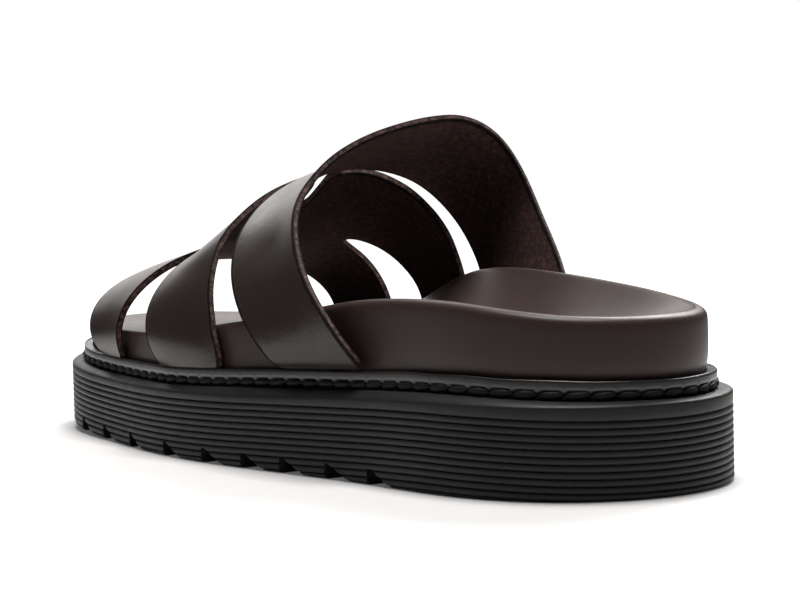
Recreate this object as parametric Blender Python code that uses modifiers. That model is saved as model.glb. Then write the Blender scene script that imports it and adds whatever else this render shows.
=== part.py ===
"""Left slide sandal: ribbed lug outsole, welt, moulded footbed, slit vamp and instep strap.

+Y points to the toe, +Z up and -X to the outer (lateral) side of the foot. The origin is the middle
of the sole's underside. Lengths are in millimetres and become metres where a mesh is made (MM).
The sole's outline drives the plan of every piece: a place on it is named by its inset, the distance
inwards from the outline, and heights are counted from the sole's rim or from the floor.
"""

import math
from collections import namedtuple

import bmesh
import bpy
import numpy as np

MM = 0.001

# ---- driving sizes -------------------------------------------------------------------------------
LENGTH = 290.0  # sole, heel to toe
CENTRE_X = -0.8  # middle of the sole's width, from the heel's centre line
STATIONS = 34  # stations along the foot, closer together at heel and toe
BED_COLUMNS = 12  # columns across the footbed's top, closer together at its rim
GAP = 0.35  # clearance between neighbouring pieces

RIB_PITCH = 1.83
RIB_GROOVES = 12
GROOVE_DEPTH = 0.6
GROOVE_HALF = 0.35
RIM_ROUND = 0.8
SOLE_DEPTH = 26.0  # rim down to below the lowest cut
TREAD_FLAT = 191.0  # the tread is flat from the heel to here
TOE_SPRING = 3.7  # lift of the tread at the toe tip
TREAD_CHAMFER = 1.5

LIP = 4.0  # sole edge to the welt
WELT_HEIGHT = 4.7
WELT_DRAFT = 0.7
BED_INSET = 7.2  # sole edge to the footbed's wall
HEEL_BULGE = 1.1  # how far the wall stands out over the welt round the heel
HEEL_BULGE_Y = (40.0, 78.0)  # full to here, gone from here

LEATHER = 2.0
FOOT_INSET = BED_INSET - 1.5 * GAP - LEATHER  # the leather's outer face where it stands on the welt

# ---- tables --------------------------------------------------------------------------------------
Width = namedtuple("Width", "share lateral medial")
SOLE_WIDTHS = (
    Width(0.035, 27.1, 27.8),
    Width(0.120, 41.9, 42.7),
    Width(0.250, 46.5, 43.0),
    Width(0.420, 53.7, 42.2),
    Width(0.580, 57.5, 49.0),
    Width(0.730, 53.1, 55.8),
    Width(0.870, 45.6, 41.5),
    Width(0.960, 27.7, 24.9),
)
TOE_TIP_X = 4.0

Rim = namedtuple("Rim", "y z")
SOLE_RIM = (
    Rim(0, 24.4),
    Rim(40, 24.6),
    Rim(80, 23.4),
    Rim(125, 21.4),
    Rim(170, 20.4),
    Rim(215, 20.5),
    Rim(250, 21.9),
    Rim(290, 24.5),
)
# How far the sole's top slopes up from its edge to the welt, and how much lower than at its
# narrowest the first groove lies.
Shoulder = namedtuple("Shoulder", "y rise band")
MEDIAL_HEEL_DROP = 0.85
SOLE_SHOULDER = (
    Shoulder(0, 0.4, 1.8),
    Shoulder(25, 1.1, 1.3),
    Shoulder(50, 1.7, 0.9),
    Shoulder(85, 1.6, 0.8),
    Shoulder(120, 1.9, 0.3),
    Shoulder(150, 1.3, 0.3),
    Shoulder(180, 0.95, 0.4),
    Shoulder(220, 0.8, 0.5),
    Shoulder(290, 0.6, 0.6),
)

# Footbed: heights of its rim on both sides and of its floor, how wide each side's slope is, and
# the radius of the rim's edge.
Bed = namedtuple("Bed", "y lateral medial floor lateral_slope medial_slope edge")
BED_SHAPE = (
    Bed(0, 45.8, 45.8, 37.6, 24, 24, 2.8),
    Bed(20, 47.5, 46.4, 36.6, 24, 24, 2.8),
    Bed(45, 49.9, 48.4, 36.2, 24, 25, 2.7),
    Bed(70, 50.1, 51.4, 36.6, 23, 27, 2.6),
    Bed(90, 48.6, 53.2, 37.0, 21, 28, 2.6),
    Bed(110, 45.2, 54.2, 36.8, 19, 28, 2.6),
    Bed(130, 42.3, 53.0, 36.0, 17, 27, 2.3),
    Bed(150, 39.8, 48.2, 35.0, 15, 24, 1.8),
    Bed(175, 37.0, 40.4, 34.2, 14, 18, 1.2),
    Bed(200, 35.1, 35.8, 33.8, 14, 15, 0.9),
    Bed(230, 34.8, 34.7, 33.8, 13, 13, 0.8),
    Bed(265, 34.8, 34.6, 34.0, 12, 12, 0.8),
    Bed(290, 34.9, 34.9, 34.2, 12, 12, 0.8),
)

# Cut edges of the two leather sheets, each a hoop over the foot. Its crown is a point; its feet
# stand on the welt at the given y. full: over 1 is a flatter arch, under 1 a squarer one.
# flare: how far the sides swing out. lean: how late the edge leaves its foot's y for the crown's.
Hoop = namedtuple(
    "Hoop",
    "crown_x crown_y crown_z lateral_y medial_y"
    " lateral_full medial_full lateral_flare medial_flare lateral_lean medial_lean",
)
BAND_REAR = Hoop(25.8, 132.5, 100.3, 79.4, 94.0, 1.25, 1.12, 18.2, 19.4, 4.7, 6.3)
BAND_FRONT = Hoop(11.3, 167.2, 86.0, 114.3, 138.0, 1.48, 0.91, 16.3, 14.5, 3.6, 4.8)
VAMP_REAR = Hoop(15.2, 172.0, 84.8, 142.8, 150.9, 1.09, 1.11, 4.0, 9.4, 5.2, 1.9)
SLIT_REAR = Hoop(11.4, 203.6, 66.4, 177.4, 177.7, 1.21, 0.78, 13.1, 5.3, 1.7, 2.8)
SLIT_FRONT = Hoop(11.6, 208.4, 64.1, 211.0, 203.0, 1.07, 0.79, 8.5, 0.2, 7.5, 5.1)
VAMP_FRONT = Hoop(10.2, 249.3, 56.1, 228.5, 229.9, 1.23, 0.81, 10.7, 0.4, 3.0, 1.0)

SLIT_LATERAL_TIP = 67.2  # degrees round the hoop from the lateral foot
SLIT_MEDIAL_TIP = 115.2
SLIT_TIP_LENGTH = 13.0  # degrees over which a slit narrows to its round end

LUG_CUTS_Y = (73, 91, 110, 127, 146, 168, 194.5, 218, 239)
LUG_CUT_HEIGHT = 4.5
LUG_CUT_RAMP = 11.0
LUG_CUT_INWARD = 14.0

FOOT_AXIS_X = 2.0  # line along the middle of the foot
FOOT_AXIS_Z = 35.0
BAND_DIP = 1.8  # how far the instep strap dips between its edges
MIDDLE_DIP = 0.1  # the same for the vamp's middle strap

NOTCH_X = 4.4  # U notch of the vamp's rear edge
NOTCH_HALF = 2.3
NOTCH_END_Y = 187.5
NOTCH_SHOULDER = 3.4
DIP_X = 2.4  # shallow dip of the vamp's front edge
DIP_MOUTH_HALF = 4.4
DIP_END_HALF = 1.8
DIP_DEPTH = 5.4


# ---- curves --------------------------------------------------------------------------------------
def spline(knots, values, at):
    """Natural cubic spline through values at knots, read at the places asked for."""
    knots = np.asarray(knots, float)
    values = np.asarray(values, float)
    places = np.clip(np.atleast_1d(np.asarray(at, float)), knots[0], knots[-1])
    flat = values.reshape(len(knots), -1)
    step = np.diff(knots)
    rise = np.diff(flat, axis=0) / step[:, None]
    system = np.eye(len(knots))
    right = np.zeros(flat.shape)
    for i in range(1, len(knots) - 1):
        system[i, i - 1 : i + 2] = step[i - 1], 2 * (step[i - 1] + step[i]), step[i]
        right[i] = 6 * (rise[i] - rise[i - 1])
    bend = np.linalg.solve(system, right)
    i = np.clip(np.searchsorted(knots, places) - 1, 0, len(step) - 1)
    ahead = ((knots[i + 1] - places) / step[i])[:, None]
    behind = 1 - ahead
    curved = (ahead**3 - ahead) * bend[i] + (behind**3 - behind) * bend[i + 1]
    read = ahead * flat[i] + behind * flat[i + 1] + curved * step[i][:, None] ** 2 / 6
    return read.reshape(np.shape(at) + values.shape[1:])


def fade(share):
    """1 at share 0 or less, falling smoothly to 0 at share 1 or more."""
    share = np.clip(share, 0, 1)
    return 1 - share * share * (3 - 2 * share)


def sole_outline(samples=720):
    """Points and outward normals round the sole, from the heel up the medial side to the toe and back."""
    medial = [(row.medial, row.share * LENGTH) for row in SOLE_WIDTHS]
    lateral = [(-row.lateral, row.share * LENGTH) for row in reversed(SOLE_WIDTHS)]
    round_once = [(0.0, 0.0)] + medial + [(TOE_TIP_X, LENGTH)] + lateral
    points = np.array(round_once * 3 + [(0.0, 0.0)])
    travel = np.concatenate([[0], np.cumsum(np.linalg.norm(np.diff(points, axis=0), axis=1))])
    start = travel[len(round_once)]
    end = travel[2 * len(round_once)]
    at = np.linspace(start, end, samples, endpoint=False)
    curve = spline(travel, points, at)
    along = spline(travel, points, at + 0.5) - spline(travel, points, at - 0.5)
    along /= np.linalg.norm(along, axis=1)[:, None]
    normals = np.stack([along[:, 1], -along[:, 0]], axis=1)
    curve[:, 0] -= CENTRE_X
    curve[:, 1] -= (curve[:, 1].min() + curve[:, 1].max()) / 2
    return curve, normals


OUTLINE, NORMALS = sole_outline()


def station_places():
    """Indexes round the outline whose points pair up across the foot at the same y."""
    share = (1 - np.cos(np.pi * np.arange(STATIONS + 1) / STATIONS)) / 2
    toe = int(OUTLINE[:, 1].argmax())
    heel = int(OUTLINE[:, 1].argmin()) % len(OUTLINE)
    heel = heel - len(OUTLINE) if heel > len(OUTLINE) // 2 else heel
    levels = OUTLINE[heel, 1] + share * (OUTLINE[toe, 1] - OUTLINE[heel, 1])
    medial = np.arange(heel, toe + 1)
    lateral = np.arange(toe, heel + len(OUTLINE) + 1)
    up = np.interp(levels, OUTLINE[medial, 1], medial)
    down = np.interp(levels, OUTLINE[lateral % len(OUTLINE), 1][::-1], lateral[::-1])
    return np.concatenate([up, down[-2:0:-1]])


PLACES = station_places()


def at_places(values):
    """Values given round the outline, read at the station places."""
    low = np.floor(PLACES).astype(int)
    part = (PLACES - low)[:, None]
    count = len(values)
    return values[low % count] * (1 - part) + values[(low + 1) % count] * part


STATION_POINTS = at_places(OUTLINE)
STATION_NORMALS = at_places(NORMALS)


def ring(inset):
    """Plan points round the sole, one for each station place, moved inwards from the outline."""
    return STATION_POINTS - STATION_NORMALS * np.reshape(inset, (-1, 1))


def inset_of(points):
    """How far inside the outline each plan point is, negative outside, and the nearest outline index."""
    apart = np.asarray(points, float)[:, None, :] - OUTLINE[None]
    nearest = (apart**2).sum(axis=2).argmin(axis=1)
    rows = np.arange(len(nearest))
    return -(apart[rows, nearest] * NORMALS[nearest]).sum(axis=1), nearest


def rim_height(y):
    """Height of the sole's rim at a place along the foot."""
    return spline([row.y for row in SOLE_RIM], [row.z for row in SOLE_RIM], np.asarray(y) + LENGTH / 2)


def shoulder(name, y):
    """One column of the shoulder's table, read at places along the foot."""
    values = [getattr(row, name) for row in SOLE_SHOULDER]
    return spline([row.y for row in SOLE_SHOULDER], values, np.asarray(y) + LENGTH / 2)


def deck_height(points):
    """Height of the sole's top under the welt and the footbed; it is lower inside the heel."""
    x, y = points[:, 0], points[:, 1]
    heel = fade((y + LENGTH / 2 - 25) / 60)
    medial = 1 - fade((x + 15) / 30)
    return rim_height(y) + shoulder("rise", y) * (1 - MEDIAL_HEEL_DROP * heel * medial)


def bed_column(name, y):
    """One column of the footbed's table, read at places along the foot."""
    values = [getattr(row, name) for row in BED_SHAPE]
    return spline([row.y for row in BED_SHAPE], values, np.asarray(y) + LENGTH / 2)


def bed_rim_height(points):
    """Height of the footbed's rim nearest to each plan point."""
    _, nearest = inset_of(points)
    medial = NORMALS[nearest, 0] > 0
    y = OUTLINE[nearest, 1]
    return np.where(medial, bed_column("medial", y), bed_column("lateral", y))


# ---- meshes --------------------------------------------------------------------------------------
def make_object(name, mesh_data, collection, colour, roughness):
    """A mesh object in its collection, shaded smooth, with its own material."""
    mesh = bpy.data.meshes.new(name)
    mesh_data.to_mesh(mesh)
    mesh_data.free()
    mesh.shade_smooth()
    mesh.set_sharp_from_angle(angle=math.radians(35))
    obj = bpy.data.objects.new(name, mesh)
    collection.objects.link(obj)
    material = bpy.data.materials.new(name)
    material.use_nodes = True
    shader = material.node_tree.nodes["Principled BSDF"]
    shader.inputs["Base Color"].default_value = (*colour, 1)
    shader.inputs["Roughness"].default_value = roughness
    mesh.materials.append(material)
    return obj


def add_ring(mesh_data, plan, heights):
    heights = np.broadcast_to(heights, len(plan))
    return [mesh_data.verts.new((x * MM, y * MM, z * MM)) for (x, y), z in zip(plan, heights)]


def bridge(mesh_data, lower, upper):
    """Quads between two rings that run the same way round, lower ring first for faces that look out."""
    for i, vert in enumerate(lower):
        j = (i + 1) % len(lower)
        mesh_data.faces.new((vert, lower[j], upper[j], upper[i]))


def ladder(mesh_data, loop, facing_up):
    """Fills a station ring with rungs across the foot and a triangle at heel and toe."""
    count = len(loop)
    for k in range(count // 2):
        corners = (loop[-k % count], loop[k], loop[k + 1], loop[-(k + 1) % count])
        face = [vert for i, vert in enumerate(corners) if vert not in corners[:i]]
        mesh_data.faces.new(face if facing_up else face[::-1])


def stack(rings, collection, name, colour, roughness):
    """A closed body from (plan, heights) rings, lowest first, with a ladder at both ends."""
    mesh_data = bmesh.new()
    loops = [add_ring(mesh_data, plan, heights) for plan, heights in rings]
    for lower, upper in zip(loops, loops[1:]):
        bridge(mesh_data, lower, upper)
    ladder(mesh_data, loops[0], facing_up=False)
    ladder(mesh_data, loops[-1], facing_up=True)
    return make_object(name, mesh_data, collection, colour, roughness)


def cut(obj, cutter):
    modifier = obj.modifiers.new(cutter.name, "BOOLEAN")
    modifier.operation = "DIFFERENCE"
    modifier.solver = "EXACT"
    modifier.object = cutter
    cutter.hide_render = True
    cutter.display_type = "WIRE"


# ---- outsole -------------------------------------------------------------------------------------
def tread_height(y):
    """Height of the tread over the floor: flat, then curving up to the toe."""
    beyond = np.clip(np.asarray(y) + LENGTH / 2 - TREAD_FLAT, 0, None)
    return TOE_SPRING * (beyond / (LENGTH - TREAD_FLAT)) ** 2


def outsole(collection):
    """The ribbed body, deeper than the tread everywhere; the ground cutter then trims it."""
    rings = []

    def level(inset, drop, band=0, rise=0):
        plan = ring(inset)
        rim = rim_height(plan[:, 1])
        extra = rise * (deck_height(plan) - rim) - band * shoulder("band", plan[:, 1])
        rings.append((plan, rim - drop + extra))

    level(0, SOLE_DEPTH, band=1)
    for k in reversed(range(RIB_GROOVES)):
        middle = (1.3 + k) * RIB_PITCH
        level(0, middle + GROOVE_HALF, band=1)
        level(GROOVE_DEPTH, middle, band=1)
        level(0, middle - GROOVE_HALF, band=1)
    level(0, RIM_ROUND)
    level(RIM_ROUND * 0.3, RIM_ROUND * 0.3)
    level(RIM_ROUND, 0, rise=0.15)
    level(LIP - 0.3, 0, rise=1)
    return stack(rings, collection, "outsole", (0.022, 0.023, 0.025), 0.55)


def ground_cutter(collection):
    """Everything under the tread, with a sloping rim that chamfers the tread's edge."""
    rings = []
    for inset, lift in ((-6, None), (-6, TREAD_CHAMFER + 6), (TREAD_CHAMFER, 0)):
        plan = ring(inset)
        heights = -20.0 if lift is None else tread_height(plan[:, 1]) + lift
        rings.append((plan, heights))
    return stack(rings, collection, "ground", (0.5, 0.5, 0.5), 0.5)


def lug_cutters(collection):
    """Wedges cut into both sides of the tread: steep towards the toe, a ramp towards the heel."""
    mesh_data = bmesh.new()
    for from_heel in LUG_CUTS_Y:
        y = from_heel - LENGTH / 2
        floor = float(tread_height(y))
        profile = (
            (y + 0.6, floor - 4.0),
            (y, floor + LUG_CUT_HEIGHT),
            (y - 1.2, floor + LUG_CUT_HEIGHT),
            (y - LUG_CUT_RAMP, floor - 0.4),
            (y - LUG_CUT_RAMP, floor - 4.0),
        )
        edge = ring(0)
        half = len(edge) // 2
        medial_x = np.interp(y, edge[: half + 1, 1], edge[: half + 1, 0])
        lateral_x = np.interp(y, edge[half:, 1][::-1], edge[half:, 0][::-1])
        for edge_x, side in ((medial_x, 1), (lateral_x, -1)):
            ends = []
            for x in (edge_x - side * LUG_CUT_INWARD, edge_x + side * 8):
                ends.append([mesh_data.verts.new((x * MM, v * MM, w * MM)) for v, w in profile])
            mesh_data.faces.new(ends[0])
            mesh_data.faces.new(ends[1][::-1])
            bridge(mesh_data, ends[1], ends[0])
    bmesh.ops.recalc_face_normals(mesh_data, faces=mesh_data.faces)
    return make_object("lug_cuts", mesh_data, collection, (0.5, 0.5, 0.5), 0.5)


# ---- welt and footbed ----------------------------------------------------------------------------
def welt(collection):
    """A strip round the sole's top with a narrow ledge that the leather stands on."""
    inner = BED_INSET - GAP
    section = (
        (inner, GAP),
        (LIP, GAP),
        (LIP + WELT_DRAFT * 0.6, WELT_HEIGHT - 0.9),
        (LIP + WELT_DRAFT + 0.4, WELT_HEIGHT),
        (inner, WELT_HEIGHT),
    )
    mesh_data = bmesh.new()
    loops = []
    for inset, lift in section:
        plan = ring(inset)
        loops.append(add_ring(mesh_data, plan, deck_height(plan) + lift))
    for lower, upper in zip(loops, loops[1:] + loops[:1]):
        bridge(mesh_data, lower, upper)
    return make_object("welt", mesh_data, collection, (0.018, 0.018, 0.019), 0.6)


def bed_height(points):
    """Height of the footbed's top: its floor, rising over a slope to the nearest rim."""
    inset, nearest = inset_of(points)
    y = points[:, 1]
    medial = NORMALS[nearest, 0] > 0
    slope = np.where(medial, bed_column("medial_slope", y), bed_column("lateral_slope", y))
    inside = np.clip((inset - BED_INSET - bed_column("edge", y)) / slope, 0, 1)
    floor = bed_column("floor", y)
    return floor + (bed_rim_height(points) - floor) * (1 - inside) ** 1.5


def footbed(collection):
    """Wall, rounded rim, and a dished top on rows of points across the foot."""
    mesh_data = bmesh.new()
    loops = []
    plan = ring(BED_INSET)
    foot = deck_height(plan)
    top = bed_rim_height(plan)
    edge = bed_column("edge", STATION_POINTS[:, 1])
    start, end = HEEL_BULGE_Y
    bulge = HEEL_BULGE * fade((STATION_POINTS[:, 1] + LENGTH / 2 - start) / (end - start))
    loops.append(add_ring(mesh_data, plan, foot + GAP))
    loops.append(add_ring(mesh_data, plan, foot + WELT_HEIGHT + GAP))
    loops.append(add_ring(mesh_data, ring(BED_INSET - bulge), foot + WELT_HEIGHT + 2.5))
    for degrees in (0, 30, 60, 90):
        turn = math.radians(degrees)
        plan = ring(BED_INSET - bulge + edge * (1 - math.cos(turn)))
        loops.append(add_ring(mesh_data, plan, top - edge * (1 - math.sin(turn))))
    for lower, upper in zip(loops, loops[1:]):
        bridge(mesh_data, lower, upper)
    ladder(mesh_data, loops[0], facing_up=False)

    rim = loops[-1]
    half = len(rim) // 2
    share = (1 - np.cos(np.pi * np.arange(1, BED_COLUMNS) / BED_COLUMNS)) / 2
    rows = []
    for k in range(1, half):
        lateral, medial = rim[-k], rim[k]
        ends = np.array([lateral.co[:2], medial.co[:2]]) / MM
        across = ends[0] + (ends[1] - ends[0]) * share[:, None]
        inner = add_ring(mesh_data, across, bed_height(across))
        rows.append([lateral, *inner, medial])
    for rear, front in zip(rows, rows[1:]):
        for a, b, c, d in zip(rear, rear[1:], front[1:], front):
            mesh_data.faces.new((a, b, c, d))
    for a, b in zip(rows[0], rows[0][1:]):
        mesh_data.faces.new((rim[0], b, a))
    for a, b in zip(rows[-1], rows[-1][1:]):
        mesh_data.faces.new((rim[half], a, b))
    return make_object("footbed", mesh_data, collection, (0.055, 0.034, 0.029), 0.45)


# ---- leather -------------------------------------------------------------------------------------
def foot_point(from_heel, side):
    """Where the leather's outer face meets the welt, on the lateral (-1) or medial (1) side."""
    edge = ring(FOOT_INSET)
    half = len(edge) // 2
    run = edge[: half + 1] if side > 0 else np.vstack([edge[half:], edge[:1]])[::-1]
    y = from_heel - LENGTH / 2
    x = np.interp(y, run[:, 1], run[:, 0])
    return np.array([x, y, float(deck_height(np.array([[x, y]]))[0]) + WELT_HEIGHT + GAP])


def hoop_points(hoop, degrees):
    """Points on a cut edge at angles from the lateral foot (0) over the crown (90) to the medial foot."""
    crown = np.array([hoop.crown_x - CENTRE_X, hoop.crown_y - LENGTH / 2, hoop.crown_z])
    points = []
    for angle in degrees:
        side = -1 if angle <= 90 else 1
        lateral = side < 0
        foot = foot_point(hoop.lateral_y if lateral else hoop.medial_y, side)
        full = hoop.lateral_full if lateral else hoop.medial_full
        flare = hoop.lateral_flare if lateral else hoop.medial_flare
        lean = hoop.lateral_lean if lateral else hoop.medial_lean
        turn = math.radians(angle if lateral else 180 - angle)
        low, high = max(math.cos(turn), 0.0), math.sin(turn)
        points.append(
            (
                crown[0] + (foot[0] - crown[0]) * low**full + side * flare * math.sin(2 * turn),
                crown[1] + (foot[1] - crown[1]) * low**lean,
                foot[2] + (crown[2] - foot[2]) * high**full,
            )
        )
    return np.array(points)


def clear_of_bed(points):
    """Moves leather that would reach into the footbed out round its wall and its rounded rim."""
    plan = points[:, :2]
    inset, nearest = inset_of(plan)
    edge = bed_column("edge", plan[:, 1])
    centre = bed_rim_height(plan) - edge
    across = BED_INSET + edge - inset
    above = np.clip(points[:, 2] - centre, 0, None)
    needed = edge + 2 * GAP + LEATHER
    reach = np.hypot(across, above)
    share = np.where((across > 0) & (reach < needed), needed / np.maximum(reach, 0.1), 1.0)
    plan = plan + NORMALS[nearest] * (across * (share - 1))[:, None]
    height = points[:, 2] + above * (share - 1)
    ledge = deck_height(plan) + WELT_HEIGHT + GAP
    return np.column_stack([plan, np.maximum(height, ledge)])


def across_hoops(edges, shares):
    """Points on smooth curves across the hoops, one for each angle.

    shares counts hoops: 0 is the rear edge, 1 the next one forward, and so on.
    """
    points = []
    for crossing, share in zip(np.swapaxes(edges, 0, 1), shares):
        travel = np.concatenate([[0], np.cumsum(np.linalg.norm(np.diff(crossing, axis=0), axis=1))])
        points.append(spline(travel, crossing, np.interp(share, np.arange(len(travel)), travel)))
    return np.array(points)


def sunk(points, depth, share):
    """Points moved towards the middle of the foot, most at half the strap's width (share 0.5)."""
    middle = points.copy()
    middle[:, 0] = FOOT_AXIS_X
    middle[:, 2] = FOOT_AXIS_Z
    inward = middle - points
    inward /= np.linalg.norm(inward, axis=1)[:, None]
    lower = fade((points[:, 2] - FOOT_AXIS_Z) / FOOT_AXIS_Z)
    return points + inward * (depth * 4 * share * (1 - share) * (1 - lower))[:, None]


def add_row(mesh_data, points):
    return [mesh_data.verts.new(point * MM) for point in points]


def weave_rows(mesh_data, rows):
    """Quads between neighbouring rows, ordered from the heel, that look outwards."""
    for rear, front in zip(rows, rows[1:]):
        for i in range(len(rear) - 1):
            mesh_data.faces.new((rear[i], rear[i + 1], front[i + 1], front[i]))


def thicken(obj):
    """Gives a sheet its leather, inwards from the outer face."""
    modifier = obj.modifiers.new("leather", "SOLIDIFY")
    modifier.thickness = LEATHER * MM
    modifier.offset = -1


def instep_strap(collection):
    degrees = np.linspace(0, 180, 45)
    edges = np.array([hoop_points(hoop, degrees) for hoop in (BAND_REAR, BAND_FRONT)])
    rows = []
    for share in np.linspace(0, 1, 7):
        row = across_hoops(edges, np.full(len(degrees), share))
        rows.append(clear_of_bed(sunk(row, BAND_DIP, share)))
    mesh_data = bmesh.new()
    weave_rows(mesh_data, [add_row(mesh_data, row) for row in rows])
    obj = make_object("instep_strap", mesh_data, collection, (0.040, 0.023, 0.020), 0.35)
    thicken(obj)
    return obj


def slit_opening(degrees):
    """How open a slit is at each angle, 0 to 1, with a rounded end at each tip."""
    to_tip = np.maximum(SLIT_LATERAL_TIP - degrees, degrees - SLIT_MEDIAL_TIP)
    share = np.clip(to_tip / SLIT_TIP_LENGTH, 0, 1)
    return (1 - (1 - share) ** 2) ** 0.45


def vamp(collection):
    """One sheet whose two side slits part the middle strap from the toe strap."""
    tip = SLIT_TIP_LENGTH * np.array([0, 0.03, 0.1, 0.25, 0.55, 1])
    degrees = np.concatenate(
        [
            np.linspace(0, SLIT_LATERAL_TIP - SLIT_TIP_LENGTH, 15)[:-1],
            SLIT_LATERAL_TIP - tip[::-1],
            np.linspace(SLIT_LATERAL_TIP, SLIT_MEDIAL_TIP, 15)[1:-1],
            SLIT_MEDIAL_TIP + tip,
            np.linspace(SLIT_MEDIAL_TIP + SLIT_TIP_LENGTH, 180, 15)[1:],
        ]
    )
    hoops = (VAMP_REAR, SLIT_REAR, SLIT_FRONT, VAMP_FRONT)
    edges = np.array([hoop_points(hoop, degrees) for hoop in hoops])
    half = slit_opening(degrees) / 2
    rear_lip = 1.5 - half
    front_lip = 1.5 + half
    shares = np.linspace(0, 1, 9)
    middle_strap = []
    toe_strap = []
    for share in shares:
        row = across_hoops(edges, rear_lip * share)
        middle_strap.append(clear_of_bed(sunk(row, MIDDLE_DIP, share)))
        row = across_hoops(edges, front_lip + (3 - front_lip) * share)
        toe_strap.append(clear_of_bed(row))
    mesh_data = bmesh.new()
    for rows in (middle_strap, toe_strap):
        weave_rows(mesh_data, [add_row(mesh_data, points) for points in rows])
    bmesh.ops.remove_doubles(mesh_data, verts=mesh_data.verts, dist=1e-6)
    obj = make_object("vamp", mesh_data, collection, (0.040, 0.023, 0.020), 0.35)
    thicken(obj)
    return obj


def upright_cutter(name, outline, low, high, collection):
    """A vertical prism with the given plan outline."""
    mesh_data = bmesh.new()
    bottom = [mesh_data.verts.new((x * MM, y * MM, low * MM)) for x, y in outline]
    face = mesh_data.faces.new(bottom)
    lifted = bmesh.ops.extrude_face_region(mesh_data, geom=[face])["geom"]
    verts = [item for item in lifted if isinstance(item, bmesh.types.BMVert)]
    bmesh.ops.translate(mesh_data, verts=verts, vec=(0, 0, (high - low) * MM))
    bmesh.ops.recalc_face_normals(mesh_data, faces=mesh_data.faces)
    return make_object(name, mesh_data, collection, (0.5, 0.5, 0.5), 0.5)


def notch_cutter(collection):
    """The U notch of the vamp's rear edge: rounded shoulders, straight sides and a round end."""
    x = NOTCH_X - CENTRE_X
    mouth = VAMP_REAR.crown_y - LENGTH / 2 - 0.6
    end = NOTCH_END_Y - LENGTH / 2 - NOTCH_HALF
    right = [(NOTCH_HALF + NOTCH_SHOULDER, mouth - 8)]
    for degrees in (90, 60, 30, 0):
        turn = math.radians(degrees)
        away = NOTCH_SHOULDER * (1 - math.cos(turn))
        right.append((NOTCH_HALF + away, mouth + NOTCH_SHOULDER * (1 - math.sin(turn))))
    for degrees in (0, 30, 60):
        turn = math.radians(degrees)
        right.append((NOTCH_HALF * math.cos(turn), end + NOTCH_HALF * math.sin(turn)))
    outline = [(x + dx, y) for dx, y in right]
    outline.append((x, end + NOTCH_HALF))
    outline += [(x - dx, y) for dx, y in reversed(right)]
    return upright_cutter("rear_notch", outline, 60, 95, collection)


def dip_cutter(collection):
    """The shallow dip cut in the vamp's front edge."""
    x = DIP_X - CENTRE_X
    mouth = VAMP_FRONT.crown_y - LENGTH / 2
    end = mouth - DIP_DEPTH
    right = (
        (DIP_MOUTH_HALF + 1.5, mouth + 8),
        (DIP_MOUTH_HALF + 0.6, mouth),
        (DIP_MOUTH_HALF - 0.6, mouth - 1.4),
        (DIP_END_HALF + 0.6, end + 1.0),
        (DIP_END_HALF, end),
    )
    outline = [(x + dx, y) for dx, y in right] + [(x - dx, y) for dx, y in reversed(right)]
    return upright_cutter("front_dip", outline, 40, 65, collection)


# ---- assembly ------------------------------------------------------------------------------------
def new_collection(name):
    collection = bpy.data.collections.new(name)
    bpy.context.scene.collection.children.link(collection)
    return collection


def build():
    for obj in list(bpy.data.objects):
        bpy.data.objects.remove(obj, do_unlink=True)
    sandal = new_collection("slide_sandal")
    cutters = new_collection("cutters")

    sole = outsole(sandal)
    cut(sole, lug_cutters(cutters))
    cut(sole, ground_cutter(cutters))
    pieces = [sole, welt(sandal), footbed(sandal), instep_strap(sandal)]
    sheet = vamp(sandal)
    cut(sheet, notch_cutter(cutters))
    cut(sheet, dip_cutter(cutters))
    pieces.append(sheet)

    frame = bpy.data.objects.new("sandal_left", None)
    sandal.objects.link(frame)
    for piece in pieces:
        piece.parent = frame


build()
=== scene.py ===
"""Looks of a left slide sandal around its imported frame, laid out as an add-on and run as a script.

Everything is in metres in the frame's axes: +Y to the toe, +Z up, -X to the outer side of the foot.
"""

import math

import bmesh
import bpy
import numpy as np
from bpy.props import FloatProperty, FloatVectorProperty, IntProperty, PointerProperty
from mathutils import Matrix, Vector, noise


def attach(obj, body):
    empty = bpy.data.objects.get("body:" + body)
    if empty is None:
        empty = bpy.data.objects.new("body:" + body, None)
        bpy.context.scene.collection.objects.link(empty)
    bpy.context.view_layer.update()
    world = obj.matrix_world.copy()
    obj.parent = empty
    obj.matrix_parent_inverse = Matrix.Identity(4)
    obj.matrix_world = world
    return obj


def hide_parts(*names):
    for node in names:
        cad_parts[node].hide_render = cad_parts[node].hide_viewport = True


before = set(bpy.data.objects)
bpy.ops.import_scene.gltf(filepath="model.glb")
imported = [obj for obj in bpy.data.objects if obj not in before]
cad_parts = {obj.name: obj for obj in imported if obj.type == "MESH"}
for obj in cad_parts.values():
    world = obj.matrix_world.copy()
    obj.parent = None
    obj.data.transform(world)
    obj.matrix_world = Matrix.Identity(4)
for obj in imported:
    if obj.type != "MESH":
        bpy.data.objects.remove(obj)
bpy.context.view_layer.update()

bl_info = {
    "name": "Slide sandal",
    "version": (1, 0, 0),
    "blender": (4, 5, 0),
    "location": "3D View > Sidebar > Sandal",
    "description": "Leather straps, footbed, stitched welt and ribbed sole of a slide sandal",
    "category": "Add Mesh",
}

MM = 0.001
BODY = "root"
HALF_LENGTH = 145  # mm from the back of the heel to the middle of the sole
TOE_SPRING = 3.7  # mm that the tread lifts at the toe
TREAD_FLAT = 46  # mm past the middle where the tread starts to lift
FOOT_AXIS = Vector((0.002, 0, 0.035))  # a line along the foot, which the straps stand round
WELD = 0.001 * MM  # points closer than this are one
SPLINE_STEPS = 24  # between two points of a closed curve


# ---- settings ------------------------------------------------------------------------------------
def colour_setting(name, description, default):
    return FloatVectorProperty(
        name=name, description=description, subtype="COLOR", size=3, min=0, max=1, default=default
    )


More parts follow.
